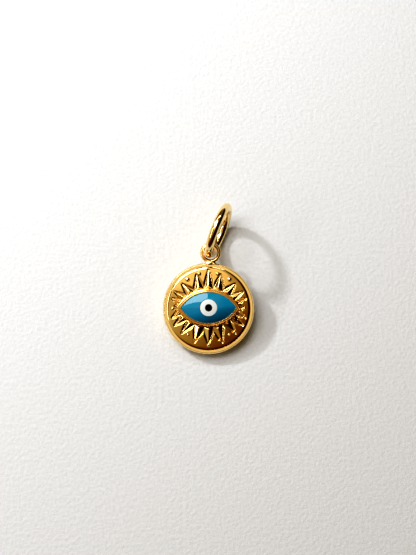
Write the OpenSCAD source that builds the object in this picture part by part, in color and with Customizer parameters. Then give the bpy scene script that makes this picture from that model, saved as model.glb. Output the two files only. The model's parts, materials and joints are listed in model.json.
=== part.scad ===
// Earring charm: a cast gold medallion with an enamelled eye in a star of darts,
// a hanging loop soldered to its edge, and a plain jump ring through the loop.
//
// Every piece is first drawn in the medal's own frame: the disc's back lies on z = 0,
// its centre on the z axis, +Y runs up to the loop and +Z comes out of the face.
// resting() then lays the whole charm on a level surface, as it lies by itself:
// on the lower edge of its back and on the lowest point of the jump ring.
// Lengths are in millimetres and angles in degrees.

/* [Disc] */
// Outer diameter of the disc
disc_d = 10; // [9.6:0.1:10.6]
// Thickness at the rim, from the back to the rim's flat top
disc_t = 1.2; // [1.16:0.01:1.22]
// Width of the flat rim round the field
rim_w = 0.38; // [0.3:0.02:0.4]
// Small bevel along the inner edge of the rim's top
rim_bevel = 0.03; // [0.02:0.01:0.04]
// Width of the band at the rim's outer edge that slopes down to the side
rim_slope_w = 0.14; // [0.1:0.01:0.18]
// Drop of that band, from the rim's flat top to the side
rim_slope_drop = 0.3; // [0.2:0.02:0.4]
// Bevel round the back
back_bevel = 0.15; // [0.05:0.05:0.25]
// Width of the narrow groove just inside the rim
groove_w = 0.04; // [0.03:0.01:0.08]
// Depth of that groove below the rim's top
groove_depth = 0.06; // [0.05:0.01:0.08]
// Height of the domed field at its centre
field_crown = 1.45; // [1.4:0.01:1.5]

/* [Eye] */
// Length of the enamelled eye, from tip to tip
eye_l = 6.06; // [5.8:0.02:6.2]
// Height of the enamelled eye
eye_h = 3.38; // [3.2:0.02:3.5]
// How far the eye sits above the disc's centre
eye_rise = 0.1; // [0:0.05:0.2]
// Width of the bezel round the enamel
bezel_w = 0.41; // [0.36:0.01:0.44]
// Height of the bezel's inner ridge above the back
bezel_top = 1.8; // [1.7:0.05:1.9]
// Floor of the enamel cell above the back
cell_floor = 1.25; // [1:0.05:1.35]
// Height of the enamel's dome from its edge to its crown
enamel_dome = 0.35; // [0.2:0.05:0.4]
// Diameter of the white iris
iris_d = 1.82; // [1.6:0.02:2]
// Diameter of the black pupil
pupil_d = 0.78; // [0.6:0.02:1]

/* [Relief] */
// Depth of the star-shaped recess below the field
recess_depth = 0.16; // [0.12:0.01:0.2]
// Width of the sloping wall all round the recess
wall_run = 0.17; // [0.12:0.01:0.2]
// Rise of each dart's peak above the field
dart_rise = 0.08; // [0.06:0.01:0.12]
// Share of the space between two inner corners of the star that a dart's base fills
dart_fill = 0.88; // [0.7:0.02:0.9]
// Gap that each dart leaves at the tip of its ray
dart_tip_gap = 0.14; // [0.08:0.01:0.2]

/* [Loop and ring] */
// Outer diameter of the hanging loop
loop_d = 2.3; // [2.25:0.01:2.4]
// Wire of the hanging loop
loop_wire = 0.44; // [0.4:0.01:0.46]
// Outer diameter of the jump ring
ring_d = 6.4; // [6:0.1:6.6]
// Wire of the jump ring
ring_wire = 0.92; // [0.8:0.02:0.94]
// How far the ring is turned clockwise, seen from the front
ring_turn = 21.2; // [10:0.1:30]
// How far the ring's plane leans from square to the face
ring_lean = 8.6; // [5:0.1:12]
// Width of the open seam in the jump ring
seam_w = 0.05; // [0.03:0.01:0.08]

/* [Hidden] */

// Facets of the circles that are drawn
big_fn = 120;
small_fn = 48;
grain_fn = 32;

// Clear space between pieces that are set into one another
set_gap = 0.02;
// How far a piece that is added runs down into what carries it
root_depth = 0.3;
// Height that every cutter reaches, clear above the face
clear_z = 3;

// Radii and heights of the disc
disc_r = disc_d / 2;
back_r = disc_r - back_bevel;
rim_inner_r = disc_r - rim_w;
groove_z = disc_t - groove_depth;
field_r = rim_inner_r - groove_w;
// Where the rim's outer slope steepens, as shares of its width and of its drop
RIM_TURN = [0.75, 0.45];

// The field is a shallow dome with a steep shoulder round it. Each row is a share of
// the field's radius and the drop there below the crown; the dome ends at the first.
SHOULDER = [
    [0.945, 0.18],
    [0.965, 0.195],
    [0.98, 0.22],
    [0.993, 0.26],
];
DOME_STEPS = 5;
dome_r = SHOULDER[0][0] * field_r;
dome_drop = SHOULDER[0][1];

// The eye's outline is two arcs that cross at its tips, on centres eye_arc_y off its middle
eye_arc_r = (pow(eye_l / 2, 2) + pow(eye_h / 2, 2)) / eye_h;
eye_arc_y = eye_arc_r - eye_h / 2;

// The bezel has a low outer ridge, a shallow groove and a taller inner ridge
bezel_inner_w = 0.4 * bezel_w;
bezel_groove_w = 0.62 * bezel_w;
outer_ridge_z = bezel_top - 0.05;
bezel_groove_z = bezel_top - 0.12;

// Heights of the enamels
enamel_z = cell_floor + set_gap;
enamel_edge_z = bezel_top - 0.1;
enamel_crown_z = enamel_edge_z + enamel_dome;
iris_edge_z = enamel_crown_z - 0.03;
iris_crown_z = enamel_crown_z + 0.03;
pupil_crown_z = enamel_crown_z + 0.05;
// Rings of the blue dome, spans along each of the eye's arcs, and steps of a small dome
ENAMEL_RINGS = 6;
ARC_STEPS = 20;
DROP_STEPS = 4;

// Right half of the star, from the top round to the bottom: x and y of a ray's tip,
// x and y of the inner corner after it, and whether a dart fills the ray. The ray
// without one is the space round the tip of the bezel.
TIP_X = 0;
TIP_Y = 1;
CORNER_X = 2;
CORNER_Y = 3;
HAS_DART = 4;
RAYS = [
    [0.00, 4.25, 0.52, 2.36, true],
    [1.31, 3.69, 1.61, 2.08, true],
    [2.87, 2.66, 2.42, 1.48, true],
    [3.66, 1.80, 2.87, 0.90, true],
    [3.99, 1.08, 3.27, 0.54, true],
    [3.78, 0.10, 3.39, -0.25, false],
    [3.96, -0.97, 3.00, -0.72, true],
    [3.70, -1.80, 2.38, -1.31, true],
    [2.91, -2.66, 1.55, -1.81, true],
    [1.49, -3.63, 0.55, -2.46, true],
    [0.00, -3.76, -0.55, -2.46, true],
];
LAST_RAY = len(RAYS) - 1;
// The recess's wall is upright up to wall_foot above its floor and then slopes outwards
wall_foot = 0.02;
// How far the cutter of the recess runs past the floor and past the field
cut_past = 0.05;
// Where a dart peaks, as a share of its length from the bezel
dart_peak = 0.16;
// Depth of a dart's end below the field
dart_end_drop = 0.07;
// How far the darts' bases run into the bezel
dart_root = 0.03;

// Granules on the right half, which the left half mirrors: x, y and radius
GRANULES = [
    [3.92, 0.00, 0.20],
    [2.30, 3.19, 0.25],
    [1.02, 3.80, 0.22],
    [2.25, -2.86, 0.15],
    [1.18, -3.50, 0.16],
];
// Granules that have no twin
SINGLE_GRANULES = [
    [0.00, -3.98, 0.19],
    [2.80, -2.52, 0.17],
    [3.80, -0.93, 0.15],
    [3.83, 0.81, 0.13],
];
// Height of a granule's centre above the field
granule_rise = 0.05;

// The hanging loop lies in the disc's plane, and solder fills the corner under it
loop_r = (loop_d - loop_wire) / 2;
loop_pos = [0.22, disc_r + loop_d / 2 - 0.03, 0.8];
saddle_top_w = 1.2;
saddle_top_y = disc_r + 0.16;
saddle_top_z = [0.5, 1.12];
saddle_foot_w = 1.9;
saddle_foot_y = disc_r - 0.22;
saddle_foot_z = [0.35, disc_t + 0.05];

// The jump ring passes through the loop a little to the lower left of the loop's centre
ring_r = (ring_d - ring_wire) / 2;
ring_through = loop_pos + [-0.13, -0.155, 0];
// Place of the seam round the ring, from the side away from the viewer
seam_at = 18.5;
seam_angle = seam_w / ring_r * 180 / PI;
ring_up = [sin(ring_turn), cos(ring_turn), 0];
ring_side = [cos(ring_turn), -sin(ring_turn), 0];
ring_away = cos(ring_lean) * [0, 0, -1] + sin(ring_lean) * ring_side;
ring_axis = cross(ring_up, ring_away);
ring_pos = ring_through + ring_r * ring_up;

// Radius and height along the rim's outer slope, from the side up to the flat top
rim_slope = [
    [disc_r, disc_t - rim_slope_drop],
    [disc_r - (1 - RIM_TURN[0]) * rim_slope_w, disc_t - RIM_TURN[1] * rim_slope_drop],
    [disc_r - rim_slope_w, disc_t],
];

function unit(v) = v / norm(v);
function reversed(list) = [for (i = [len(list) - 1 : -1 : 0]) list[i]];
function mirrored(p) = [-p[0], p[1]];
// Point p turned by angle a about a unit axis through the origin
function turned(p, axis, a) =
    p * cos(a) + cross(axis, p) * sin(a) + axis * (axis * p) * (1 - cos(a));

// The vertical at rest, in the medal's frame. It depends on the ring's lowest point,
// which depends on the vertical, so a few rounds settle both.
REST_ROUNDS = 6;
function ring_low(up) =
    ring_pos - ring_r * unit(up - (up * ring_axis) * ring_axis) - ring_wire / 2 * up;
function up_over(low) =
    let (across = norm([low.x, low.y]))
    unit([-low.z * low.x / across, -low.z * low.y / across, back_r + across]);
function rest_up(up, rounds) =
    rounds == 0 ? up : rest_up(up_over(ring_low(up)), rounds - 1);
up = rest_up([0, 0, 1], REST_ROUNDS);
tip_angle = acos(up.z);
tip_axis = unit([up.y, -up.x, 0]);

// How far the charm reaches along a direction of the medal's frame
EDGE_CIRCLES = concat([[back_r, 0], [disc_r, back_bevel]], rim_slope);
function disc_reach(e) = max([for (c = EDGE_CIRCLES) c[0] * norm([e.x, e.y]) + c[1] * e.z]);
function ring_reach(e) =
    ring_pos * e + ring_r * sqrt(1 - pow(ring_axis * e, 2)) + ring_wire / 2;
function reach(e) = max(disc_reach(e), ring_reach(e));
function middle(e) = (reach(e) - reach(-e)) / 2;
level_x = turned([1, 0, 0], tip_axis, -tip_angle);
level_y = turned([0, 1, 0], tip_axis, -tip_angle);
rest_shift = [-middle(level_x), -middle(level_y), reach(-up)];

// Lays what is drawn in the medal's frame on the level surface
module resting() {
    translate(rest_shift)
        rotate(a = tip_angle, v = tip_axis)
            children();
}

// Height of the field at a distance from the disc's centre, and its outline from the
// centre out to the groove
function field_z(r) = field_crown - dome_drop * pow(min(r, dome_r) / dome_r, 2);
function field_outline(drop) = concat(
    [for (i = [0 : DOME_STEPS]) [dome_r * i / DOME_STEPS, field_z(dome_r * i / DOME_STEPS) - drop]],
    [for (i = [1 : len(SHOULDER) - 1]) [SHOULDER[i][0] * field_r, field_crown - SHOULDER[i][1] - drop]]
);

// The whole disc with its rim, groove and domed field, before the relief
module disc_blank() {
    back = [[0, 0], [back_r, 0], [disc_r, back_bevel]];
    rim_inside = [
        [rim_inner_r + rim_bevel, disc_t],
        [rim_inner_r, disc_t - rim_bevel],
        [rim_inner_r, groove_z],
        [field_r, groove_z],
    ];
    rotate_extrude($fn = big_fn)
        polygon(concat(back, rim_slope, rim_inside, reversed(field_outline(0))));
}

// What lies under the recess's floor: the field lowered by the recess's depth
module under_recess() {
    rotate_extrude($fn = big_fn)
        polygon(concat([[0, 0], [field_r, 0]], reversed(field_outline(recess_depth))));
}

// Outline of the star, right half and then its mirror image
function tip(i) = [RAYS[i][TIP_X], RAYS[i][TIP_Y]];
function corner(i) = [RAYS[i][CORNER_X], RAYS[i][CORNER_Y]];
star = concat(
    [for (i = [0 : LAST_RAY - 1]) each [tip(i), corner(i)]],
    [tip(LAST_RAY)],
    [for (i = [LAST_RAY - 1 : -1 : 1]) each [mirrored(corner(i)), mirrored(tip(i))]],
    [mirrored(corner(0))]
);

// The star runs clockwise, so its outside is to the left of each side
STAR_N = len(star);
function star_side(i) = unit(star[(i + 1) % STAR_N] - star[i % STAR_N]);
function star_out(i) = [-star_side(i).y, star_side(i).x];
// Points where the sloping wall above star point i meets a height: a fan of three round
// a ray's tip, and one where two walls meet over an inner corner
function wall_fan(i, run) =
    let (
        p = star[i],
        before = star_out(i + STAR_N - 1),
        after = star_out(i),
        is_tip = cross(before, after) < 0
    )
    is_tip
        ? [p + run * before, p + run * unit(before + after), p + run * after]
        : [p + run * (before + after) / (1 + before * after)];

// The star-shaped recess as a cutter: its floor follows the field, its wall slopes
module star_recess() {
    top_run = wall_run * (recess_depth - wall_foot + cut_past) / (recess_depth - wall_foot);
    fans = [for (i = [0 : STAR_N - 1]) wall_fan(i, top_run)];
    tops = [for (fan = fans) each fan];
    // Index of each fan's first point among the points of the polyhedron
    first = [for (i = 0, at = 2 * STAR_N; i < STAR_N; at = at + len(fans[i]), i = i + 1) at];
    TOP_N = len(tops);
    low_mid = 2 * STAR_N + TOP_N;
    top_mid = low_mid + 1;
    points = concat(
        [for (p = star) [each p, field_z(norm(p)) - recess_depth - cut_past]],
        [for (p = star) [each p, field_z(norm(p)) - recess_depth + wall_foot]],
        [for (p = tops) [each p, field_z(norm(p)) + cut_past]],
        [[0, 0, field_crown - recess_depth - cut_past], [0, 0, clear_z]]
    );
    faces = concat(
        [for (i = [0 : STAR_N - 1]) let (j = (i + 1) % STAR_N) each [
            [low_mid, j, i],
            [i, j, STAR_N + j, STAR_N + i],
            [STAR_N + i, STAR_N + j, first[j]],
            [STAR_N + i, first[j], first[i] + len(fans[i]) - 1],
        ]],
        [for (i = [0 : STAR_N - 1]) if (len(fans[i]) > 1)
            for (k = [first[i] : first[i] + len(fans[i]) - 2]) [STAR_N + i, k + 1, k]],
        [for (k = [0 : TOP_N - 1]) [top_mid, 2 * STAR_N + k, 2 * STAR_N + (k + 1) % TOP_N]]
    );
    difference() {
        polyhedron(points, faces);
        under_recess();
    }
}

// Upright prism with the eye's outline, grown all round, from z0 to z1
module almond(grow, z0, z1) {
    intersection_for(side = [-1, 1])
        translate([0, eye_rise + side * eye_arc_y, z0])
            cylinder(r = eye_arc_r + grow, h = z1 - z0, $fn = big_fn);
}

// One dart: a low ridge that stands on the recess's floor, with its peak near the bezel.
// a and b are the inner corners of the star on its two sides.
module dart(a, b, ray_tip) {
    between = (a + b) / 2;
    arc_centre = [0, eye_rise - sign(between.y - eye_rise) * eye_arc_y];
    out = unit(between - arc_centre);
    along = [out.y, -out.x];
    base = arc_centre + (eye_arc_r + bezel_w - dart_root) * out;
    half = dart_fill * norm(a - b) / 2 * along;
    end = ray_tip - dart_tip_gap * unit(ray_tip - base);
    peak = base + dart_peak * (end - base);
    floor_z = field_z(norm(base)) - recess_depth;
    foot_z = floor_z - root_depth;
    end_z = field_z(norm(end)) - dart_end_drop;
    peak_z = field_z(norm(peak)) + dart_rise;
    polyhedron(
        points = [
            [each (base - half), foot_z],
            [each (base + half), foot_z],
            [each end, foot_z],
            [each (base - half), floor_z],
            [each (base + half), floor_z],
            [each end, end_z],
            [each peak, peak_z],
        ],
        faces = [
            [0, 1, 2],
            [0, 3, 4, 1],
            [1, 4, 5, 2],
            [2, 5, 3, 0],
            [3, 6, 4],
            [4, 6, 5],
            [3, 5, 6],
        ]
    );
}

// The darts of the right half and their mirror images. The top and bottom ones lie on
// the mirror line, so they are drawn once.
module darts() {
    dart(mirrored(corner(0)), corner(0), tip(0));
    dart(corner(LAST_RAY - 1), mirrored(corner(LAST_RAY - 1)), tip(LAST_RAY));
    for (i = [1 : LAST_RAY - 1])
        if (RAYS[i][HAS_DART]) {
            dart(corner(i - 1), corner(i), tip(i));
            dart(mirrored(corner(i)), mirrored(corner(i - 1)), mirrored(tip(i)));
        }
}

module granule(x, y, r) {
    translate([x, y, field_z(norm([x, y])) + granule_rise])
        sphere(r = r, $fn = grain_fn);
}

module granules() {
    for (g = GRANULES, side = [-1, 1])
        granule(side * g[0], g[1], g[2]);
    for (g = SINGLE_GRANULES)
        granule(g[0], g[1], g[2]);
}

// Bezel with its two ridges, open down to the floor of the enamel cell
module bezel() {
    root_z = field_crown - recess_depth - root_depth;
    difference() {
        union() {
            almond(bezel_w, root_z, outer_ridge_z);
            almond(bezel_inner_w, root_z, bezel_top);
        }
        difference() {
            almond(bezel_groove_w, bezel_groove_z, clear_z);
            almond(bezel_inner_w, 0, clear_z);
        }
    }
}

module enamel_cell() {
    almond(set_gap, cell_floor, clear_z);
}

module hanging_loop() {
    translate(loop_pos)
        rotate_extrude($fn = small_fn)
            translate([loop_r, 0])
                circle(d = loop_wire, $fn = grain_fn);
}

// Solder between the loop and the rim, tapered upwards and outwards
module solder_saddle() {
    intersection() {
        translate([loop_pos.x, 0, 0])
            linear_extrude(height = clear_z)
                polygon([
                    [-saddle_foot_w / 2, saddle_foot_y],
                    [saddle_foot_w / 2, saddle_foot_y],
                    [saddle_top_w / 2, saddle_top_y],
                    [-saddle_top_w / 2, saddle_top_y],
                ]);
        translate([-disc_r, 0, 0])
            rotate([90, 0, 90])
                linear_extrude(height = disc_d)
                    polygon([
                        [saddle_foot_y, saddle_foot_z[0]],
                        [saddle_top_y, saddle_top_z[0]],
                        [saddle_top_y, saddle_top_z[1]],
                        [saddle_foot_y, saddle_foot_z[1]],
                    ]);
    }
}

// Cast and soldered gold: disc, relief, bezel and loop in one piece
module medallion() {
    color("goldenrod")
        resting()
            difference() {
                union() {
                    difference() {
                        disc_blank();
                        star_recess();
                    }
                    darts();
                    granules();
                    bezel();
                    solder_saddle();
                    hanging_loop();
                }
                enamel_cell();
            }
}

// Points of the eye's outline round its middle, grown all round, anticlockwise
function eye_outline(grow) =
    let (
        r = eye_arc_r + grow,
        half_angle = acos(eye_arc_y / r),
        step = 2 * half_angle / ARC_STEPS
    )
    concat(
        [for (i = [0 : ARC_STEPS - 1]) let (a = half_angle - i * step)
            [r * sin(a), r * cos(a) - eye_arc_y]],
        [for (i = [0 : ARC_STEPS - 1]) let (a = i * step - half_angle)
            [r * sin(a), eye_arc_y - r * cos(a)]]
    );

// Closed dome over the eye's outline: a straight side, then rings that shrink upwards
module enamel_dome_solid() {
    outline = eye_outline(0);
    n = len(outline);
    crown = (ENAMEL_RINGS + 1) * n;
    rings = concat(
        [[1, enamel_z]],
        [for (k = [0 : ENAMEL_RINGS - 1]) let (s = 1 - k / ENAMEL_RINGS)
            [s, enamel_crown_z - enamel_dome * s * s]]
    );
    points = concat(
        [for (ring = rings, p = outline) [ring[0] * p.x, eye_rise + ring[0] * p.y, ring[1]]],
        [[0, eye_rise, enamel_crown_z]]
    );
    sides = [for (k = [0 : ENAMEL_RINGS - 1], i = [0 : n - 1]) let (j = (i + 1) % n)
        [k * n + i, (k + 1) * n + i, (k + 1) * n + j, k * n + j]];
    tops = [for (i = [0 : n - 1])
        [ENAMEL_RINGS * n + i, crown, ENAMEL_RINGS * n + (i + 1) % n]];
    polyhedron(points, concat([[for (i = [0 : n - 1]) i]], sides, tops));
}

module enamel_blue() {
    color("darkcyan")
        resting()
            difference() {
                enamel_dome_solid();
                translate([0, eye_rise, 0])
                    cylinder(d = iris_d + 2 * set_gap, h = clear_z, $fn = small_fn);
            }
}

// Round plug of enamel on the eye's middle: a hole, a straight side and a domed top
module enamel_drop(hole_r, r, edge_z, crown_z) {
    top = [for (i = [0 : DROP_STEPS]) let (at = r + (hole_r - r) * i / DROP_STEPS)
        [at, crown_z - (crown_z - edge_z) * pow(at / r, 2)]];
    translate([0, eye_rise, 0])
        rotate_extrude($fn = small_fn)
            polygon(concat([[hole_r, enamel_z], [r, enamel_z]], top));
}

module enamel_white() {
    color("white")
        resting()
            enamel_drop(pupil_d / 2 + set_gap, iris_d / 2, iris_edge_z, iris_crown_z);
}

module enamel_black() {
    color("black")
        resting()
            enamel_drop(0, pupil_d / 2, iris_crown_z, pupil_crown_z);
}

// Round wire bent to a ring that ends at its seam, on its axis through the origin
module open_ring() {
    rotate([0, 0, seam_at + seam_angle / 2])
        rotate_extrude(angle = 360 - seam_angle, $fn = big_fn)
            translate([ring_r, 0])
                circle(d = ring_wire, $fn = small_fn);
}

module jump_ring() {
    color("gold")
        resting()
            translate(ring_pos)
                rotate([0, 90 - ring_lean, -ring_turn])
                    open_ring();
}

medallion();
enamel_blue();
enamel_white();
enamel_black();
jump_ring();
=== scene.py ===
"""Looks of a small gold charm with an enamelled eye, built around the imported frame.

The medallion and the enamels are drawn in the medal's own frame, in millimetres: the disc's
back lies on z = 0, its centre on the z axis, +Y runs up to the hanging loop and +Z comes out
of the face. placed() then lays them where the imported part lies, in metres. The jump ring is
drawn flat round its own centre, and laid by its turn and its lean.
"""
import json
import math

import bpy
import numpy as np
from mathutils import Matrix, Vector


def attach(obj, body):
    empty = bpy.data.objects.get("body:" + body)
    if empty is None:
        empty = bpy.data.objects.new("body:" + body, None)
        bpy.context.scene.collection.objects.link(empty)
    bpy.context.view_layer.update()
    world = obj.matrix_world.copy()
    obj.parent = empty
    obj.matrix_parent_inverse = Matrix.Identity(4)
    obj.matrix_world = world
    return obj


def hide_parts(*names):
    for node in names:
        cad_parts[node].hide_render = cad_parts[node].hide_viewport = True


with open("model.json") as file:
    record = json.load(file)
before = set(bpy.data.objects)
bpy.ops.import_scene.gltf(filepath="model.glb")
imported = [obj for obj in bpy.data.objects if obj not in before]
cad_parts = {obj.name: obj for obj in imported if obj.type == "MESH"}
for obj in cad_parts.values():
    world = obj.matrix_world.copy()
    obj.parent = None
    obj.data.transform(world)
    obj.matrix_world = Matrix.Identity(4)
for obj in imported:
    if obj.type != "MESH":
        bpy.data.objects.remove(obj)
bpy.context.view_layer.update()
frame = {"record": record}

MM = 0.001
TAU = 2 * math.pi

# Where the part lies: the middle of the disc's back, the way that its face looks, and the
# middle of the jump ring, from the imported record
MOUNTS = {mount["name"]: mount for mount in frame["record"]["mounts"]}
BACK_CENTRE = Vector(MOUNTS["back_face"]["pos_m"])
FACE_NORMAL = -Vector(MOUNTS["back_face"]["axis"])
RING_CENTRE = Vector(MOUNTS["ring_opening"]["pos_m"])
TIPPED = Vector((0, 0, 1)).rotation_difference(FACE_NORMAL).to_matrix().to_4x4()
MEDAL = Matrix.Translation(BACK_CENTRE) @ TIPPED @ Matrix.Scale(MM, 4)

# Disc: radii, heights and widths, with the dome that ends a little inside the field's edge
DISC_R = 5.0
DISC_T = 1.2
BACK_BEVEL = 0.15
BACK_ROUND = 0.05
RIM_W = 0.38
GROOVE_W = 0.04
GROOVE_Z = 1.14
FIELD_R = DISC_R - RIM_W - GROOVE_W
FIELD_CROWN = 1.45
DOME_R = 0.945 * FIELD_R
DOME_DROP = 0.18
# Shoulder from the dome down to the groove: share of the field's radius, drop, rounding
SHOULDER = [
    (0.965, 0.195, 0.05),
    (0.98, 0.22, 0.05),
    (0.993, 0.25, 0.03),
    (1.0, 0.28, 0),
]
# Rim from its inner wall over the flat top to the side: distance in from the disc's edge,
# drop below the top, rounding
RIM_PROFILE = [
    (RIM_W, 0.0, 0),
    (0.34, 0.0, 0),
    (0.19, 0.0, 0),
    (0.14, 0.0, 0.02),
    (0.035, 0.13, 0.08),
    (0.0, 0.3, 0.08),
]

# Eye: two arcs that cross at its tips, grown outwards for the bezel, and the enamels' cell
EYE_L = 6.06
EYE_H = 3.38
EYE_RISE = 0.1
EYE_ARC_R = ((EYE_L / 2) ** 2 + (EYE_H / 2) ** 2) / EYE_H
EYE_ARC_Y = EYE_ARC_R - EYE_H / 2
BEZEL_W = 0.41
CELL_FLOOR = 1.25
CELL_WALL_Z = 1.35
BEZEL_FOOT_Z = 1.5
SET_GAP = 0.02
# Bezel from the cell outwards: growth of the outline, height, rounding
BEZEL_PROFILE = [
    (SET_GAP, 1.71, 0),
    (0.045, 1.80, 0.02),
    (0.06, 1.799, 0),
    (0.10, 1.795, 0),
    (0.12, 1.79, 0.02),
    (0.145, 1.70, 0),
    (0.18, 1.62, 0.015),
    (0.225, 1.67, 0),
    (0.245, 1.75, 0.02),
    (0.265, 1.747, 0),
    (0.33, 1.732, 0),
    (0.35, 1.725, 0.02),
    (0.385, 1.64, 0),
    (BEZEL_W, 1.54, 0),
]

# Enamels: heights, radii and the rounding of their edges
ENAMEL_Z = 1.27
ENAMEL_EDGE_Z = 1.70
ENAMEL_DOME = 0.35
ENAMEL_CROWN_Z = ENAMEL_EDGE_Z + ENAMEL_DOME
IRIS_R = 0.91
IRIS_EDGE_Z = 2.02
IRIS_CROWN_Z = 2.08
PUPIL_R = 0.39
PUPIL_CROWN_Z = 2.10
ENAMEL_ROUND = 0.03
HOLE_ROUND = 0.02
IRIS_HOLE_ROUND = 0.012
PUPIL_ROUND = 0.02
PUPIL_TOP_CAP_R = 0.05
PUPIL_FOOT_CAP_R = 0.1

# Star-shaped recess in the field: its depth, the run and the softness of its wall, and how
# far its outline stays off the bezel
RECESS_DEPTH = 0.16
WALL_RUN = 0.17
WALL_SOFT = 0.15
STAR_CLEAR = 0.03
# Right half of the star, from the top round to the bottom: tip x, tip y, inner corner x,
# inner corner y, whether a dart fills the ray
RAYS = [
    (0.00, 4.25, 0.52, 2.36, True),
    (1.31, 3.69, 1.61, 2.08, True),
    (2.87, 2.66, 2.42, 1.48, True),
    (3.66, 1.80, 2.87, 0.90, True),
    (3.99, 1.08, 3.27, 0.54, True),
    (3.78, 0.10, 3.39, -0.25, False),
    (3.96, -0.97, 3.00, -0.72, True),
    (3.70, -1.80, 2.38, -1.31, True),
    (2.91, -2.66, 1.55, -1.81, True),
    (1.49, -3.63, 0.55, -2.46, True),
    (0.00, -3.76, -0.55, -2.46, True),
]
# Darts: each fills most of the mouth between two inner corners and ends short of the tip
DART_RISE = 0.08
DART_FILL = 0.88
DART_TIP_GAP = 0.14
DART_PEAK = 0.16
DART_END_DROP = 0.07
DART_ROOT = 0.03
DART_BULGE = 0.025
DART_SOFT = 0.008
CREST_SOFT = 0.022

# Granules that have a twin on the left, and those that have none: x, y, radius
GRANULES = [
    (3.92, 0.00, 0.20),
    (2.30, 3.19, 0.25),
    (1.02, 3.80, 0.22),
    (2.25, -2.86, 0.15),
    (1.18, -3.50, 0.16),
]
SINGLE_GRANULES = [
    (0.00, -3.98, 0.19),
    (2.80, -2.52, 0.17),
    (3.80, -0.93, 0.15),
    (3.83, 0.81, 0.13),
]
GRANULE_RISE = 0.10

# Hanging loop, and the two ends of its solder: y, half width, lowest z, highest z
LOOP_R = 0.93
LOOP_WIRE_R = 0.22
LOOP_POS = (0.22, 6.12, 0.8)
SADDLE_FOOT = (4.78, 0.95, 0.35, 1.25)
SADDLE_TOP = (5.18, 0.56, 0.52, 1.10)
# Powers of the solder's curves: how fast it draws in, and its section, where 1 is an ellipse
# and less is fuller
SADDLE_DRAWN = 2.2
SADDLE_SECTION = 0.7

# Jump ring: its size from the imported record, its turn, its lean and its seam's place in
# degrees, and the seam's width and rounding
RING_WIRE_R = MOUNTS["ring_opening"]["dims"]["length_mm"] / 2
RING_R = MOUNTS["ring_opening"]["dims"]["r_mm"] + RING_WIRE_R
RING_TURN = 21.2
RING_LEAN = 8.6
SEAM_AT = 18.5
SEAM_W = 0.05
SEAM_ROUND = 0.03
# Wire's end at the seam: share of the rounding's length, how full the wire is there
SEAM_END = [
    (0, 0.90),
    (0.25, 0.96),
    (1, 1),
]

# How finely the pieces are drawn: columns lie side by side, and rows follow one another
RAY_COLUMNS = 14
FLOOR_ROWS = 26
FIELD_ROWS = 8
GRANULE_COLUMNS = 28
GRANULE_ROWS = 16
LOOP_COLUMNS = 110
LOOP_WIRE_ROWS = 36
SADDLE_COLUMNS = 40
SADDLE_ROWS = 14
EYE_COLUMNS = 280
EYE_ROWS = 18
IRIS_COLUMNS = 120
PUPIL_COLUMNS = 80
DOME_POINTS = 9
RING_COLUMNS = 48
RING_ROWS = 240
# Points of a rounded corner, and the most that it takes of the line on either side
ROUND_STEPS = 5
MOST_CUT = 0.45
# Shares of the way from a flat end's middle to its edge where it has rows
CAP_SHARES = (0.3, 0.7)
# Angle from a granule's poles, in radians, where its first and last rows lie
GRANULE_POLE = 0.12
# Rows on the recess's floor crowd towards the bezel by this power, they lie at least this
# far apart, and the recess's wall is found by so many halvings
FLOOR_CROWDING = 1.3
LEAST_ROW = 0.004
HALVINGS = 30

# Edges that turn by more than these degrees are drawn sharp
CAST_SHARP = 40
PLAIN_SHARP = 50


def rounded(corners):
    """Points of a profile whose inner corners are rounded, each over its own length."""
    points = [np.array(corners[0][:2])]
    for before, here, after in zip(corners, corners[1:], corners[2:]):
        p = np.array(here[:2])
        to_before = np.array(before[:2]) - p
        to_after = np.array(after[:2]) - p
        lengths = np.linalg.norm(to_before), np.linalg.norm(to_after)
        cut = min(here[2], MOST_CUT * lengths[0], MOST_CUT * lengths[1])
        if cut == 0:
            points.append(p)
            continue
        start = p + cut * to_before / lengths[0]
        end = p + cut * to_after / lengths[1]
        for t in np.linspace(0, 1, ROUND_STEPS):
            points.append((1 - t) ** 2 * start + 2 * t * (1 - t) * p + t ** 2 * end)
    points.append(np.array(corners[-1][:2]))
    return points


def skin(name, rows, wrap=False, satin_rows=()):
    """Closed mesh through rows of points, each row a ring.

    With wrap the last row meets the first; otherwise the first and the last row are
    capped. satin_rows are the rows whose faces take the second material.
    """
    rows = np.asarray(rows, float)
    count, columns = rows.shape[:2]
    points = rows.reshape(-1, 3)
    quads = []
    kinds = []
    for k in range(count if wrap else count - 1):
        here = k * columns
        there = (k + 1) % count * columns
        for i in range(columns):
            j = (i + 1) % columns
            quads.append((here + i, here + j, there + j, there + i))
            kinds.append(1 if k in satin_rows else 0)
    if not wrap:
        points = np.vstack([points, rows[0].mean(0), rows[-1].mean(0)])
        first = count * columns
        last_row = (count - 1) * columns
        for i in range(columns):
            j = (i + 1) % columns
            quads.append((first, j, i))
            quads.append((last_row + i, last_row + j, first + 1))
            kinds.extend((0, 0))
    mesh = bpy.data.meshes.new(name)
    mesh.from_pydata(points.tolist(), [], quads)
    mesh.polygons.foreach_set("material_index", kinds)
    mesh.polygons.foreach_set("use_smooth", [True] * len(kinds))
    mesh.update()
    piece = bpy.data.objects.new(name, mesh)
    bpy.context.scene.collection.objects.link(piece)
    return piece


def placed(piece, sharp_angle):
    """Lays a piece drawn in the medal's frame where the part lies, and marks its edges."""
    piece.data.transform(MEDAL)
    piece.data.set_sharp_from_angle(angle=math.radians(sharp_angle))
    piece.data.update()
    return piece


def lathe_rows(profile, angles, centre=(0, 0)):
    """Rows of a revolved profile of radius and height, at clockwise angles from +Y."""
    return [
        np.stack([
            centre[0] + r * np.sin(angles),
            centre[1] + r * np.cos(angles),
            np.full(len(angles), z),
        ], axis=-1)
        for r, z in profile
    ]


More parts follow.
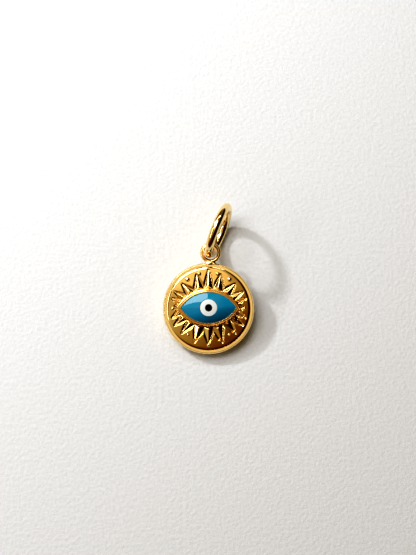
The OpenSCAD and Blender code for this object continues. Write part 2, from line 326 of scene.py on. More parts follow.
def even_angles(count):
    """That many angles in even steps round a full turn."""
    return np.arange(count) * TAU / count


def field_height(r):
    """Height of the domed field at a distance from the disc's centre."""
    return FIELD_CROWN - DOME_DROP * (np.minimum(r, DOME_R) / DOME_R) ** 2


def eye_points(q, grown):
    """Points of the eye's outline, grown outwards. q is 0 at the top, 1 at the right
    tip, 2 at the bottom and 3 at the left tip."""
    q = np.asarray(q, float) % 4
    share = np.where(q < 1, q, np.where(q < 3, 2 - q, q - 4))
    side = np.where((q < 1) | (q >= 3), 1, -1)
    angle = share * math.acos(EYE_ARC_Y / (EYE_ARC_R + grown))
    x = (EYE_ARC_R + grown) * np.sin(angle)
    y = EYE_RISE + side * ((EYE_ARC_R + grown) * np.cos(angle) - EYE_ARC_Y)
    return np.stack([x, y], axis=-1)


def eye_place(point):
    """The place q of the bezel's outline that faces a point on the right half."""
    below = point[1] < EYE_RISE
    reach = abs(point[1] - EYE_RISE) + EYE_ARC_Y
    share = math.atan2(point[0], reach) / math.acos(EYE_ARC_Y / (EYE_ARC_R + BEZEL_W))
    return 2 - share if below else share


def star_points():
    """Points of the star in order, with the bezel's place and the angle that face each."""
    half = []
    for i, (tip_x, tip_y, corner_x, corner_y, has_dart) in enumerate(RAYS):
        if 0 < i < len(RAYS) - 1:
            before = np.array(RAYS[i - 1][2:4])
            middle = (before + np.array((corner_x, corner_y))) / 2
            tip_place = eye_place(middle) if has_dart else 1
        else:
            tip_place = 0 if i == 0 else 2
        half.append(((tip_x, tip_y), tip_place))
        half.append(((corner_x, corner_y), eye_place((corner_x, corner_y))))
    half = half[:-1]
    mirror = [((-p[0], p[1]), 4 - q) for p, q in reversed(half[1:-1])]
    points = np.array([p for p, q in half + mirror])
    places = np.array([q for p, q in half + mirror])
    angles = np.unwrap(np.arctan2(points[:, 0], points[:, 1]))
    even = (np.roll(angles, 1) + 2 * angles + np.roll(angles, -1)) / 4
    # The first point is the top one, at 0, so its neighbours lie on both sides of it
    even[0] = 0
    even[-1] = (angles[-2] + 2 * angles[-1] + TAU) / 4
    return points, places, even


STAR, STAR_PLACES, STAR_ANGLES = star_points()


def star_distance(points):
    """Distance of points from the star's outline, negative inside the star."""
    a = STAR
    b = np.roll(STAR, -1, axis=0)
    edge = b - a
    to_point = points[:, None, :] - a[None]
    along = np.clip((to_point * edge).sum(-1) / (edge ** 2).sum(-1), 0, 1)
    distance = np.linalg.norm(to_point - along[..., None] * edge, axis=-1).min(1)
    spans = (a[:, 1] > points[:, 1:2]) != (b[:, 1] > points[:, 1:2])
    height = np.where(edge[:, 1] == 0, 1, edge[:, 1])
    crossing = a[:, 0] + (points[:, 1:2] - a[:, 1]) / height * edge[:, 0]
    inside = (spans & (points[:, 0:1] < crossing)).sum(1) % 2 == 1
    return np.where(inside, -distance, distance)


def soft_ramp(t, soft):
    """A ramp from 0 at t = 0 to 1 at t = 1, with both bends rounded."""
    def bend(x):
        return np.where(x < -soft, 0, np.where(x > soft, x, (x + soft) ** 2 / (4 * soft)))
    return bend(t) - bend(t - 1)


def unit(v):
    return v / np.linalg.norm(v)


def dart_planes(a, b, ray_tip):
    """The sloping faces of a dart, each as z = px + qy + r: its end, and two on each
    side, the lower one steeper, so that the sides swell a little."""
    between = (a + b) / 2
    side = 1 if between[1] >= EYE_RISE else -1
    arc_centre = np.array((0, EYE_RISE - side * EYE_ARC_Y))
    out = unit(between - arc_centre)
    along = np.array((out[1], -out[0]))
    base = arc_centre + (EYE_ARC_R + BEZEL_W - DART_ROOT) * out
    half = DART_FILL * np.linalg.norm(a - b) / 2 * along
    end = ray_tip - DART_TIP_GAP * unit(ray_tip - base)
    peak = base + DART_PEAK * (end - base)
    floor_z = field_height(np.linalg.norm(base)) - RECESS_DEPTH
    left = np.array((*(base - half), floor_z))
    right = np.array((*(base + half), floor_z))
    top = np.array((*peak, field_height(np.linalg.norm(peak)) + DART_RISE))
    point = np.array((*end, field_height(np.linalg.norm(end)) - DART_END_DROP))
    faces = [(left, right, top)]
    for foot in (left, right):
        swell = (foot + top) / 2 + (0, 0, DART_BULGE)
        faces += [(foot, swell, point), (swell, top, point)]
    planes = []
    for corners in faces:
        matrix = np.array([(x, y, 1) for x, y, z in corners])
        planes.append(np.linalg.solve(matrix, [z for x, y, z in corners]))
    return planes


def all_dart_planes():
    """The faces of each dart; the darts on the right have twins on the left."""
    mirrored = np.array((-1, 1))
    tips = [np.array(ray[0:2]) for ray in RAYS]
    corners = [np.array(ray[2:4]) for ray in RAYS]
    last = len(RAYS) - 1
    planes = [
        dart_planes(corners[0] * mirrored, corners[0], tips[0]),
        dart_planes(corners[last - 1], corners[last], tips[last]),
    ]
    for i in range(1, last):
        if RAYS[i][4]:
            a, b, tip = corners[i - 1], corners[i], tips[i]
            planes.append(dart_planes(a, b, tip))
            planes.append(dart_planes(b * mirrored, a * mirrored, tip * mirrored))
    return planes


def soft_max(values, soft):
    """The largest of some surfaces, blended softly where they cross."""
    top = np.max(values, axis=0)
    return top + soft * np.log(sum(np.exp((v - top) / soft) for v in values))


def relief(points):
    """Height of the field with its star-shaped recess and the darts in it."""
    field = field_height(np.linalg.norm(points, axis=1))
    wall = soft_ramp(star_distance(points) / WALL_RUN, WALL_SOFT)
    ground = field - RECESS_DEPTH * (1 - wall)
    darts = [
        -soft_max([-(points @ plane[:2] + plane[2]) for plane in planes], CREST_SOFT)
        for planes in all_dart_planes()
    ]
    return soft_max([ground, *darts], DART_SOFT)


def columns_between(values, wrap):
    """Values along the star's outline, in even steps from each star point to the next."""
    steps = np.arange(RAY_COLUMNS) / RAY_COLUMNS
    following = np.roll(values, -1, axis=0).copy()
    following[-1] += wrap
    if values.ndim == 1:
        return (values[:, None] + steps * (following - values)[:, None]).ravel()
    return (values[:, None] + steps[:, None] * (following - values)[:, None]).reshape(-1, 2)


def recess_paths():
    """The lines that run from the bezel through the star's outline to the dome's edge."""
    places = columns_between(STAR_PLACES, 4)
    angles = columns_between(STAR_ANGLES, TAU)
    outline = columns_between(STAR, 0)
    foot = eye_points(places, BEZEL_W)
    side = np.where(outline[:, 1] >= EYE_RISE, 1, -1)
    arc_centres = np.stack([np.zeros(len(side)), EYE_RISE - side * EYE_ARC_Y], axis=-1)
    from_centre = outline - arc_centres
    reach = np.linalg.norm(from_centre, axis=1, keepdims=True)
    least = EYE_ARC_R + BEZEL_W + STAR_CLEAR
    outline = arc_centres + from_centre * np.maximum(reach, least) / reach
    edge = DOME_R * np.stack([np.sin(angles), np.cos(angles)], axis=-1)
    return places, angles, foot, outline, edge


def along_paths(foot, outline, edge, length):
    """Points at a length along each path."""
    first = np.linalg.norm(outline - foot, axis=1)
    second = np.linalg.norm(edge - outline, axis=1)
    inner = foot + (outline - foot) * np.clip(length / first, 0, 1)[:, None]
    outer = (edge - outline) * np.clip((length - first) / second, 0, 1)[:, None]
    return inner + outer


def relief_rows(foot, outline, edge):
    """Rows of the field from the bezel out to the dome's edge. Some follow the wall of
    the recess, so that its foot and its lip are drawn cleanly."""
    total = np.linalg.norm(outline - foot, axis=1) + np.linalg.norm(edge - outline, axis=1)
    levels = np.array([-WALL_SOFT, 0, WALL_SOFT, 0.35, 0.65, 1 - WALL_SOFT, 1, 1 + WALL_SOFT])
    wall_lengths = []
    for level in levels * WALL_RUN:
        low = np.zeros(len(total))
        high = total.copy()
        for _ in range(HALVINGS):
            middle = (low + high) / 2
            beyond = star_distance(along_paths(foot, outline, edge, middle)) > level
            high = np.where(beyond, middle, high)
            low = np.where(beyond, low, middle)
        least = wall_lengths[-1] + LEAST_ROW if wall_lengths else FLOOR_ROWS * LEAST_ROW
        wall_lengths.append(np.maximum(low, least))
    shares = (np.arange(FLOOR_ROWS) / FLOOR_ROWS) ** FLOOR_CROWDING
    lengths = [wall_lengths[0] * share for share in shares]
    lengths += wall_lengths
    last = wall_lengths[-1]
    lengths += [last + (total - last) * k / FIELD_ROWS for k in range(1, FIELD_ROWS + 1)]
    rows = []
    for length in lengths:
        points = along_paths(foot, outline, edge, length)
        rows.append(np.column_stack([points, relief(points)]))
    return rows


def rim_profile():
    """Radius and height of the shoulder, groove and rim, and of the side and the back in
    to the middle."""
    inner_r = DISC_R - RIM_W
    shoulder = [(DOME_R, FIELD_CROWN - DOME_DROP)]
    shoulder += [(share * FIELD_R, FIELD_CROWN - drop, soft) for share, drop, soft in SHOULDER]
    shoulder += [(FIELD_R, GROOVE_Z, 0), (inner_r, GROOVE_Z, 0)]
    rim = [(DISC_R - inset, DISC_T - drop, soft) for inset, drop, soft in RIM_PROFILE]
    outside = rounded([*shoulder, *rim, (DISC_R, BACK_BEVEL)])[1:-1]
    back = [
        (DISC_R, (DISC_T + BACK_BEVEL) / 2),
        (DISC_R, BACK_BEVEL, BACK_ROUND),
        (DISC_R - BACK_BEVEL, 0, BACK_ROUND),
        *((share * DISC_R, 0, 0) for share in reversed(CAP_SHARES)),
    ]
    return outside, rounded(back)


def medallion_body():
    """The disc with its rim, field, recess, darts and bezel, as one closed skin."""
    places, angles, foot, outline, edge = recess_paths()
    rows = []
    cell = eye_points(places, SET_GAP)
    centre = np.array((0, EYE_RISE))
    for share in (*CAP_SHARES, 1):
        rows.append(np.column_stack([
            centre + share * (cell - centre), np.full(len(cell), CELL_FLOOR)]))
    bezel = [(SET_GAP, CELL_WALL_Z), *BEZEL_PROFILE, (BEZEL_W, BEZEL_FOOT_Z)]
    for grown, z in rounded(bezel):
        rows.append(np.column_stack([eye_points(places, grown), np.full(len(foot), z)]))
    middle_z = (BEZEL_FOOT_Z + relief(foot)) / 2
    rows.append(np.column_stack([foot, middle_z]))
    rows += relief_rows(foot, outline, edge)
    satin = range(len(rows) - FIELD_ROWS - 1, len(rows) - 1)
    outside, back = rim_profile()
    rows += lathe_rows(outside + back, angles)
    return skin("cast_medallion", rows, satin_rows=satin)


def ball_rows(x, y, r):
    """Rows of a small ball on the field, from its top down."""
    centre_z = field_height(math.hypot(x, y)) + GRANULE_RISE
    profile = [
        (r * math.sin(a), centre_z + r * math.cos(a))
        for a in np.linspace(GRANULE_POLE, math.pi - GRANULE_POLE, GRANULE_ROWS)
    ]
    return lathe_rows(profile, even_angles(GRANULE_COLUMNS), (x, y))


def granules():
    """The small balls near the star's points."""
    twins = [(side * x, y, r) for x, y, r in GRANULES for side in (-1, 1)]
    return [
        skin(f"granule_{i}", ball_rows(x, y, r))
        for i, (x, y, r) in enumerate(twins + SINGLE_GRANULES)
    ]


def hanging_loop():
    """Round wire loop, soldered upright on the rim."""
    profile = [
        (LOOP_R + LOOP_WIRE_R * math.cos(a), LOOP_POS[2] - LOOP_WIRE_R * math.sin(a))
        for a in even_angles(LOOP_WIRE_ROWS)
    ]
    rows = lathe_rows(profile, even_angles(LOOP_COLUMNS), LOOP_POS)
    return skin("hanging_loop", rows, wrap=True)


def solder_saddle():
    """Solder drawn up from the rim to the loop, in flowing hollow curves."""
    rows = []
    turns = even_angles(SADDLE_COLUMNS)
    for t in np.linspace(0, 1, SADDLE_ROWS):
        ease = 1 - (1 - t) ** SADDLE_DRAWN
        y, half_w, low, high = (
            f + (g - f) * (t if n == 0 else ease)
            for n, (f, g) in enumerate(zip(SADDLE_FOOT, SADDLE_TOP))
        )
        across = np.sign(np.cos(turns)) * abs(np.cos(turns)) ** SADDLE_SECTION
        upward = np.sign(np.sin(turns)) * abs(np.sin(turns)) ** SADDLE_SECTION
        rows.append(np.stack([
            LOOP_POS[0] + half_w * across,
            np.full(len(turns), y),
            (low + high) / 2 + (high - low) / 2 * upward,
        ], axis=-1))
    return skin("solder_saddle", rows)


def fused(body, parts):
    """Joins parts to a body as one solid, as casting and soldering do."""
    for part in parts:
        union = body.modifiers.new(part.name, "BOOLEAN")
        union.operation = "UNION"
        union.solver = "MANIFOLD"
        union.object = part
    solid = bpy.data.meshes.new_from_object(
        body.evaluated_get(bpy.context.evaluated_depsgraph_get()))
    body.modifiers.clear()
    body.data = solid
    for part in parts:
        bpy.data.objects.remove(part)
    solid.polygons.foreach_set("use_smooth", [True] * len(solid.polygons))
    return body


def medallion():
    """Cast and soldered gold: disc, relief, bezel, granules and hanging loop."""
    parts = [*granules(), solder_saddle(), hanging_loop()]
    return placed(fused(medallion_body(), parts), CAST_SHARP)


def enamel_blue():
    """Dome of enamel over the eye's outline, with a round hole for the iris."""
    # The tips are sharp, so a point lies on each of them
    places = np.arange(EYE_COLUMNS) * 4 / EYE_COLUMNS
    outline = eye_points(places, 0) - (0, EYE_RISE)
    reach = np.linalg.norm(outline, axis=1)
    # Shares of the way out to the outline, which differ from one column to the next
    hole = (IRIS_R + SET_GAP) / reach
    hole_lip = hole + HOLE_ROUND / reach
    edge_lip = 1 - ENAMEL_ROUND / reach

    def ring(share, z):
        return np.column_stack([share[:, None] * outline + (0, EYE_RISE), z])

    def dome_z(share):
        return ENAMEL_CROWN_Z - ENAMEL_DOME * share ** 2

    foot = np.full(EYE_COLUMNS, ENAMEL_Z)
    rows = [ring(hole, foot)]
    for bend in (0, 0.3, 1):
        share = hole + bend * (hole_lip - hole)
        rows.append(ring(share, dome_z(share) - HOLE_ROUND * (1 - bend) ** 2))
    for t in np.linspace(0, 1, EYE_ROWS)[1:]:
        share = hole_lip + t * (edge_lip - hole_lip)
        rows.append(ring(share, dome_z(share)))
    for bend in (0.4, 0.75, 1):
        share = edge_lip + bend * (1 - edge_lip)
        rows.append(ring(share, np.full(EYE_COLUMNS, ENAMEL_EDGE_Z - ENAMEL_ROUND * bend ** 2)))
    rows.append(ring(np.ones(EYE_COLUMNS), foot))
    return placed(skin("blue_enamel", rows, wrap=True), PLAIN_SHARP)


def dome_profile(inner_r, outer_r, edge_z, crown_z):
    """Corners of a small enamel dome's top, from its hole or middle out to its edge."""
    return [
        (r, crown_z - (crown_z - edge_z) * (r / outer_r) ** 2, 0)
        for r in np.linspace(inner_r, outer_r, DOME_POINTS)
    ]


def enamel_white():
    """The white iris, a ring with a domed top."""
    inner_r = PUPIL_R + SET_GAP
    top = dome_profile(inner_r, IRIS_R, IRIS_EDGE_Z, IRIS_CROWN_Z)
    corners = [
        (inner_r, ENAMEL_Z),
        (inner_r, top[0][1], IRIS_HOLE_ROUND),
        *top[1:-1],
        (IRIS_R, IRIS_EDGE_Z, ENAMEL_ROUND),
        (IRIS_R, ENAMEL_Z),
    ]
    rows = lathe_rows(rounded(corners), even_angles(IRIS_COLUMNS), (0, EYE_RISE))
    return placed(skin("white_iris", rows, wrap=True), PLAIN_SHARP)


def enamel_black():
    """The black pupil, a round plug with a domed top."""
    top = dome_profile(PUPIL_TOP_CAP_R, PUPIL_R, IRIS_CROWN_Z, PUPIL_CROWN_Z)
    corners = [
        *top[:-1],
        (PUPIL_R, IRIS_CROWN_Z, PUPIL_ROUND),
        (PUPIL_R, ENAMEL_Z, 0),
        (PUPIL_FOOT_CAP_R, ENAMEL_Z),
    ]
    rows = lathe_rows(rounded(corners), even_angles(PUPIL_COLUMNS), (0, EYE_RISE))
    return placed(skin("black_pupil", rows), PLAIN_SHARP)


def jump_ring():
    """Round wire bent to a ring, with the hairline seam where its ends meet."""
    turns = -even_angles(RING_COLUMNS)
    seam = SEAM_W / RING_R
    start = math.radians(SEAM_AT) + seam / 2
    sweep = TAU - seam
    # Each station: angle past the seam, and how full the wire is there
    end = [(share * SEAM_ROUND / RING_R, full) for share, full in SEAM_END]
    middle = [(angle, 1) for angle in np.linspace(0, sweep, RING_ROWS)[1:-1]]
    stations = [*end, *middle, *((sweep - angle, full) for angle, full in reversed(end))]
    rows = []
    for angle, full in stations:
        across = RING_R + full * RING_WIRE_R * np.cos(turns)
        at = start + angle
        rows.append(np.stack([
            across * math.cos(at),
            across * math.sin(at),
            full * RING_WIRE_R * np.sin(turns),
        ], axis=-1))
    piece = skin("wire_ring", rows)
    lean = Matrix.Rotation(math.radians(90 - RING_LEAN), 4, "Y")
    turn = Matrix.Rotation(math.radians(-RING_TURN), 4, "Z")
    there = Matrix.Translation(RING_CENTRE) @ TIPPED @ turn @ lean @ Matrix.Scale(MM, 4)
    piece.data.transform(there)
    piece.data.set_sharp_from_angle(angle=math.radians(PLAIN_SHARP))
    return piece


# Most of a noise's values lie between these, so its range is read from one to the other
NOISE_LOW = 0.3
NOISE_HIGH = 0.7


def fill_ramp(ramp, stops):
    """Sets a colour ramp's stops: place, colour."""
    while len(ramp.elements) < len(stops):
        ramp.elements.new(1)
    for element, (at, colour) in zip(ramp.elements, stops):
        element.position = at
        element.color = (*colour, 1)


class Nodes:
    """Short calls for a material's nodes."""

    def __init__(self, name):
        self.material = bpy.data.materials.new(name)
        self.material.use_nodes = True
        self.tree = self.material.node_tree
        self.shader = self.tree.nodes["Principled BSDF"]
        self.here = self.add("ShaderNodeTexCoord").outputs["Object"]

    def add(self, kind, **settings):
        node = self.tree.nodes.new(kind)
        for key, value in settings.items():
            if key in node.inputs:
                node.inputs[key].default_value = value
            else:
                setattr(node, key, value)
        return node

    def link(self, source, target):
        self.tree.links.new(source, target)

    def noise(self, size_mm, detail=3, stretch=None):
        """Noise with features of about that size, or stretched along the given scale."""
        noise = self.add("ShaderNodeTexNoise", Scale=1 / (size_mm * MM), Detail=detail)
        if stretch:
            mapping = self.add("ShaderNodeMapping", Scale=stretch)
            self.link(self.here, mapping.inputs["Vector"])
            self.link(mapping.outputs["Vector"], noise.inputs["Vector"])
        else:
            self.link(self.here, noise.inputs["Vector"])
        return noise.outputs["Fac"]

    def between(self, factor, low, high, target):
        """Maps a noise between two values into a socket."""
        ranged = self.add("ShaderNodeMapRange")
        ranged.inputs["From Min"].default_value = NOISE_LOW
        ranged.inputs["From Max"].default_value = NOISE_HIGH
        ranged.inputs["To Min"].default_value = low
        ranged.inputs["To Max"].default_value = high
        self.link(factor, ranged.inputs["Value"])
        self.link(ranged.outputs["Result"], target)

    def colours(self, factor, stops):
        """Ramp of colours over a factor into the base colour."""
        ramp = self.add("ShaderNodeValToRGB")
        fill_ramp(ramp.color_ramp, stops)
        self.link(factor, ramp.inputs["Fac"])
        self.link(ramp.outputs["Color"], self.shader.inputs["Base Color"])

    def bump(self, heights):
        """Adds bumps one on the other: factor, height in millimetres, strength."""
        normal = None
        for factor, height_mm, strength in heights:
            bump = self.add("ShaderNodeBump", Distance=height_mm * MM, Strength=strength)
            self.link(factor, bump.inputs["Height"])
            if normal:
                self.link(normal, bump.inputs["Normal"])
            normal = bump.outputs["Normal"]
        self.link(normal, self.shader.inputs["Normal"])

    def set(self, **values):
        for key, value in values.items():
            self.shader.inputs[key.replace("_", " ")].default_value = value


# Gold: its deeper and its paler tone, the range of roughness where it is polished and where
# it is satined, and the height of the grain there in millimetres
GOLD_DEEP = (0.94, 0.69, 0.31)
GOLD_PALE = (0.97, 0.74, 0.36)
POLISHED_ROUGHNESS = (0.05, 0.10)
POLISHED_GRAIN = 0.0004
SATIN_ROUGHNESS = (0.18, 0.26)
SATIN_GRAIN = 0.0012


def gold(name, roughness, grain_mm):
    """Gold plate with soft changes of tone and polish, fine grain and hairline wear."""
    nodes = Nodes(name)
    nodes.set(Metallic=1.0)
    tone = nodes.noise(size_mm=1.6)
    polish = nodes.noise(size_mm=0.5, detail=5)
    grain = nodes.noise(size_mm=0.06, detail=4)
    hairlines = nodes.noise(size_mm=0.05, detail=2, stretch=(1, 0.06, 0.3))
    waves = nodes.noise(size_mm=0.9, detail=2)
    nodes.colours(tone, [(NOISE_LOW, GOLD_DEEP), (NOISE_HIGH, GOLD_PALE)])
    nodes.between(polish, *roughness, nodes.shader.inputs["Roughness"])
    nodes.bump([
        (grain, grain_mm, 0.35),
        (hairlines, 0.6 * grain_mm, 0.25),
        (waves, 0.004, 0.3),
    ])
    return nodes.material


# Painted shade and light on the enamels: their colour is painted darker towards the medal's
# bottom and paler towards its top and a little to its left, where the light comes from, and a
# noise adds up to this share of the way
PAINTED_LIGHT_WAY = TIPPED.to_3x3() @ Vector((-0.25, 0.97, 0))
MOTTLING = 0.12


def enamel(name, span, stops, roughness, shine):
    """Fired enamel: glossy, a little uneven, with painted shade and light: darker at one end of
    the span, in millimetres from the disc's centre, and paler at the other."""
    nodes = Nodes(name)
    nodes.set(IOR=1.5, Specular_IOR_Level=shine)
    low, high = span
    # Painted shade and light: the colour runs from dark to pale along this way
    place = nodes.add("ShaderNodeVectorMath", operation="DOT_PRODUCT")
    nodes.link(nodes.here, place.inputs[0])
    place.inputs[1].default_value = PAINTED_LIGHT_WAY
    share = nodes.add("ShaderNodeMapRange")
    share.inputs["From Min"].default_value = low * MM + BACK_CENTRE @ PAINTED_LIGHT_WAY
    share.inputs["From Max"].default_value = high * MM + BACK_CENTRE @ PAINTED_LIGHT_WAY
    nodes.link(place.outputs["Value"], share.inputs["Value"])
    mottled = nodes.add("ShaderNodeMath", operation="MULTIPLY_ADD")
    mottled.inputs[1].default_value = MOTTLING
    nodes.link(nodes.noise(size_mm=0.7), mottled.inputs[0])
    nodes.link(share.outputs["Result"], mottled.inputs[2])
    nodes.colours(mottled.outputs["Value"], stops)
    nodes.between(nodes.noise(size_mm=0.4), *roughness, nodes.shader.inputs["Roughness"])
    waves = nodes.noise(size_mm=0.8, detail=2)
    nodes.bump([(waves, 0.002, 0.4)])
    return nodes.material


# Paper: its two tones and the half width of the sheet, in millimetres
PAPER_DEEP = (0.765, 0.80, 0.855)
PAPER_PALE = (0.805, 0.84, 0.895)
SHEET_HALF = 300


def paper():
    """Pale matt paper with a fine tooth."""
    nodes = Nodes("pale_paper")
    nodes.set(Roughness=0.9, Specular_IOR_Level=0.2)
    tone = nodes.noise(size_mm=0.4, detail=2)
    tooth = nodes.noise(size_mm=0.38, detail=2)
    waves = nodes.noise(size_mm=1.2, detail=2)
    nodes.colours(tone, [(NOISE_LOW, PAPER_DEEP), (NOISE_HIGH, PAPER_PALE)])
    nodes.bump([
        (tooth, 0.05, 1.0),
        (waves, 0.06, 0.3),
    ])
    return nodes.material


def floor():
    """Wide square sheet that the charm lies on."""
    half = SHEET_HALF
    points = [(-half, -half, 0), (half, -half, 0), (half, half, 0), (-half, half, 0)]
    mesh = bpy.data.meshes.new("floor")
    mesh.from_pydata([[c * MM for c in p] for p in points], [], [(0, 1, 2, 3)])
    mesh.materials.append(paper())
    sheet = bpy.data.objects.new("floor", mesh)
    bpy.context.scene.collection.objects.link(sheet)


# Light: the panels and strips are placed by the way that they lie from the charm, in the
# medal's frame, at this distance
LAMP_FAR = 160 * MM
DAYLIGHT = (1.0, 1.0, 0.99)
WARM_LIGHT = (1.0, 0.82, 0.5)

# Strips round the charm's upper left: name, angle clockwise from the medal's +Y, how much
# of that angle it covers. All are in degrees, as are the strips' angle from the face's
# normal and their height
STRIPS = [
    ("left_strip", -85, 44),
    ("corner_strip", -36, 40),
    ("top_strip", 7, 32),
]
STRIP_POLAR = 57
STRIP_HEIGHT = 6
STRIP_RADIANCE = 5.5

# Window: compass angle clockwise from +Y and elevation in degrees, and its round opening
WINDOW_AZIMUTH = -50
WINDOW_ELEVATION = 33
WINDOW_FAR = 300 * MM
WINDOW_SIZE = 24 * MM
WINDOW_RADIANCE = 200
WINDOW_COLOUR = (1.0, 0.99, 0.97)


def area_lamp(name, shape, width, height, radiance, colour, placing):
    """Lamp of even radiance over its shape, laid by a matrix and shining along its -Z."""
    data = bpy.data.lights.new(name, "AREA")
    data.shape = shape
    data.size = width
    data.size_y = height
    fullness = math.pi / 4 if shape == "DISK" else 1
    data.energy = radiance * math.pi * fullness * width * height
    data.color = colour
    lamp = bpy.data.objects.new(name, data)
    lamp.matrix_world = placing
    bpy.context.scene.collection.objects.link(lamp)


def panel(name, left, right, low, high, radiance, colour):
    """Flat soft panel parallel to the face, between those slopes to the right and upwards
    of the line that comes straight out of the face."""
    middle = Vector(((left + right) / 2, (low + high) / 2, 1)) * LAMP_FAR
    placing = Matrix.Translation(BACK_CENTRE) @ TIPPED @ Matrix.Translation(middle)
    width = (right - left) * LAMP_FAR
    height = (high - low) * LAMP_FAR
    area_lamp(name, "RECTANGLE", width, height, radiance, colour, placing)


def strip(name, azimuth, width):
    """Strip light that faces the charm and covers that width of azimuth."""
    a = math.radians(azimuth)
    p = math.radians(STRIP_POLAR)
    away = TIPPED.to_3x3() @ Vector((
        math.sin(a) * math.sin(p), math.cos(a) * math.sin(p), math.cos(p)))
    across = TIPPED.to_3x3() @ Vector((math.cos(a), -math.sin(a), 0))
    facing = Matrix((across, away.cross(across), away)).transposed().to_4x4()
    area_lamp(
        name, "RECTANGLE",
        2 * LAMP_FAR * math.tan(math.radians(width / 2)) * math.sin(p),
        2 * LAMP_FAR * math.tan(math.radians(STRIP_HEIGHT / 2)),
        STRIP_RADIANCE, DAYLIGHT,
        Matrix.Translation(BACK_CENTRE + LAMP_FAR * away) @ facing)


def window_light():
    """Low key light from one side that throws the charm's soft shadow on the paper."""
    a = math.radians(WINDOW_AZIMUTH)
    e = math.radians(WINDOW_ELEVATION)
    away = Vector((math.sin(a) * math.cos(e), math.cos(a) * math.cos(e), math.sin(e)))
    facing = away.to_track_quat("Z", "Y").to_matrix().to_4x4()
    area_lamp(
        "window_light", "DISK", WINDOW_SIZE, WINDOW_SIZE, WINDOW_RADIANCE, WINDOW_COLOUR,
        Matrix.Translation(WINDOW_FAR * away) @ facing)


# Soft glow straight out of the face: its radiance, and the angles in degrees where it
# has faded out and where it is full
GLOW = (0.30, 0.31, 0.31)
GLOW_REACH = 6
GLOW_CORE = 3

# The room's right side is dark: the shares of the medal's +X where the dark is full and
# where it begins, and what is left of the light in it
DARK_FULL = 0.32
DARK_FROM = 0.20
DARK_LEFT = 0.2

# The room's light over the way to the medal's upper left: place from the far side at 0 to
# that way at 1, colour
PALE_WAY = Vector((-0.66, 0.62, 0.42)).normalized()
ROOM_STOPS = [
    (0.5, (0.035, 0.007, 0.0)),
    (0.58, (0.12, 0.04, 0.0)),
    (0.64, (0.27, 0.19, 0.055)),
    (0.70, (0.35, 0.28, 0.15)),
    (0.75, (0.41, 0.35, 0.20)),
    (0.81, (0.10, 0.05, 0.01)),
    (1.0, (0.12, 0.08, 0.03)),
]
ROOM_STRENGTH = 1.1


def leaning(tree, source, direction, low, high, least=0.0):
    """How far a direction leans another way, as least to 1 between two shares of it."""
    share = tree.nodes.new("ShaderNodeVectorMath")
    share.operation = "DOT_PRODUCT"
    share.inputs[1].default_value = direction
    tree.links.new(source, share.inputs[0])
    scaled = tree.nodes.new("ShaderNodeMapRange")
    scaled.inputs["From Min"].default_value = low
    scaled.inputs["From Max"].default_value = high
    scaled.inputs["To Min"].default_value = least
    tree.links.new(share.outputs["Value"], scaled.inputs["Value"])
    return scaled.outputs["Result"]


def surroundings():
    """Room light: dim and warm above, paler to the upper left, dark to the right, with a
    soft glow straight out of the face."""
    world = bpy.data.worlds.new("studio")
    world.use_nodes = True
    tree = world.node_tree
    background = tree.nodes["Background"]
    here = tree.nodes.new("ShaderNodeTexCoord").outputs["Generated"]
    ramp = tree.nodes.new("ShaderNodeValToRGB")
    fill_ramp(ramp.color_ramp, ROOM_STOPS)
    tree.links.new(leaning(tree, here, PALE_WAY, -1, 1), ramp.inputs["Fac"])
    right = TIPPED.to_3x3() @ Vector((1, 0, 0))
    shaded = tree.nodes.new("ShaderNodeVectorMath")
    shaded.operation = "SCALE"
    tree.links.new(ramp.outputs["Color"], shaded.inputs[0])
    tree.links.new(
        leaning(tree, here, right, DARK_FULL, DARK_FROM, DARK_LEFT), shaded.inputs["Scale"])
    reach = math.cos(math.radians(GLOW_REACH))
    core = math.cos(math.radians(GLOW_CORE))
    summed = tree.nodes.new("ShaderNodeVectorMath")
    summed.operation = "MULTIPLY_ADD"
    summed.inputs[1].default_value = GLOW
    tree.links.new(leaning(tree, here, FACE_NORMAL, reach, core), summed.inputs[0])
    tree.links.new(shaded.outputs["Vector"], summed.inputs[2])
    tree.links.new(summed.outputs["Vector"], background.inputs["Color"])
    background.inputs["Strength"].default_value = ROOM_STRENGTH
    bpy.context.scene.world = world


# Camera: square to the disc's face and framed as the photograph is, 416 by 555 pixels
PHOTO_W = 416
PHOTO_H = 555
PIXELS_PER_MM = 9.15
DISC_AT = (208.6, 308.6)
LENS = 100
SENSOR = 36
# Shares of the camera's distance that it sees between
NEAR_SHARE = 0.1
FAR_SHARE = 100


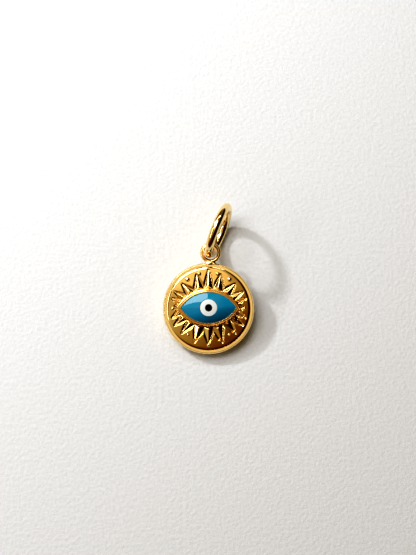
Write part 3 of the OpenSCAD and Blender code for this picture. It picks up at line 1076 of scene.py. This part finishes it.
def camera():
    """The scene's camera, straight in front of the face."""
    data = bpy.data.cameras.new("camera")
    data.lens = LENS
    data.sensor_width = SENSOR
    distance = LENS / SENSOR * PHOTO_H / PIXELS_PER_MM
    aim = Vector((
        (PHOTO_W / 2 - DISC_AT[0]) / PIXELS_PER_MM,
        (DISC_AT[1] - PHOTO_H / 2) / PIXELS_PER_MM,
        DISC_T,
    ))
    data.clip_start = NEAR_SHARE * distance * MM
    data.clip_end = FAR_SHARE * distance * MM
    eye = bpy.data.objects.new("camera", data)
    bpy.context.scene.collection.objects.link(eye)
    eye.matrix_world = (
        Matrix.Translation(BACK_CENTRE) @ TIPPED
        @ Matrix.Translation((aim + Vector((0, 0, distance))) * MM))
    bpy.context.scene.camera = eye


def finish_piece(piece, node, materials):
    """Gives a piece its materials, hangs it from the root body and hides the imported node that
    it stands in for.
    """
    piece.data.materials.clear()
    for material in materials:
        piece.data.materials.append(material)
    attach(piece, "root")
    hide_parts(node)


POLISHED = gold("gold_polished", POLISHED_ROUGHNESS, POLISHED_GRAIN)
SATIN = gold("gold_satin", SATIN_ROUGHNESS, SATIN_GRAIN)
# Enamel colours from the painted shade at the medal's bottom to the painted light at its top
# left
BLUE_SHADE_TO_LIGHT_STOPS = [
    (0.0, (0.0, 0.03, 0.08)),
    (0.5, (0.0, 0.24, 0.45)),
    (1.0, (0.0, 0.29, 0.47)),
]
WHITE_SHADE_TO_LIGHT_STOPS = [
    (0.0, (0.78, 0.86, 0.91)),
    (1.0, (0.85, 0.93, 0.97)),
]
BLACK_STOPS = [
    (0.0, (0.001, 0.001, 0.001)),
    (1.0, (0.002, 0.002, 0.003)),
]
BLUE = enamel("enamel_blue", (-1.6, 1.8), BLUE_SHADE_TO_LIGHT_STOPS, roughness=(0.02, 0.05), shine=0.6)
WHITE = enamel("enamel_white", (-0.8, 1.0), WHITE_SHADE_TO_LIGHT_STOPS, roughness=(0.04, 0.10), shine=0.3)
BLACK = enamel("enamel_black", (-0.3, 0.5), BLACK_STOPS, roughness=(0.03, 0.08), shine=0.05)

for make, node, slot, materials in (
    (medallion, "medallion", "gold", (POLISHED, SATIN)),
    (enamel_blue, "enamel_blue", "enamel_blue", (BLUE,)),
    (enamel_white, "enamel_white", "enamel_white", (WHITE,)),
    (enamel_black, "enamel_black", "enamel_black", (BLACK,)),
    (jump_ring, "jump_ring", "gold", (POLISHED,)),
):
    finish_piece(make(), node, materials)

floor()
panel("soft_panel", left=-0.75, right=-0.03, low=0.33, high=0.9, radiance=4.7, colour=DAYLIGHT)
panel("fill_panel", left=-0.6, right=0.12, low=0.08, high=0.6, radiance=0.33, colour=WARM_LIGHT)
for name, azimuth, width in STRIPS:
    strip(name, azimuth, width)
window_light()
surroundings()
camera()
bpy.context.scene.view_settings.view_transform = "Standard"
bpy.context.scene.view_settings.look = "High Contrast"
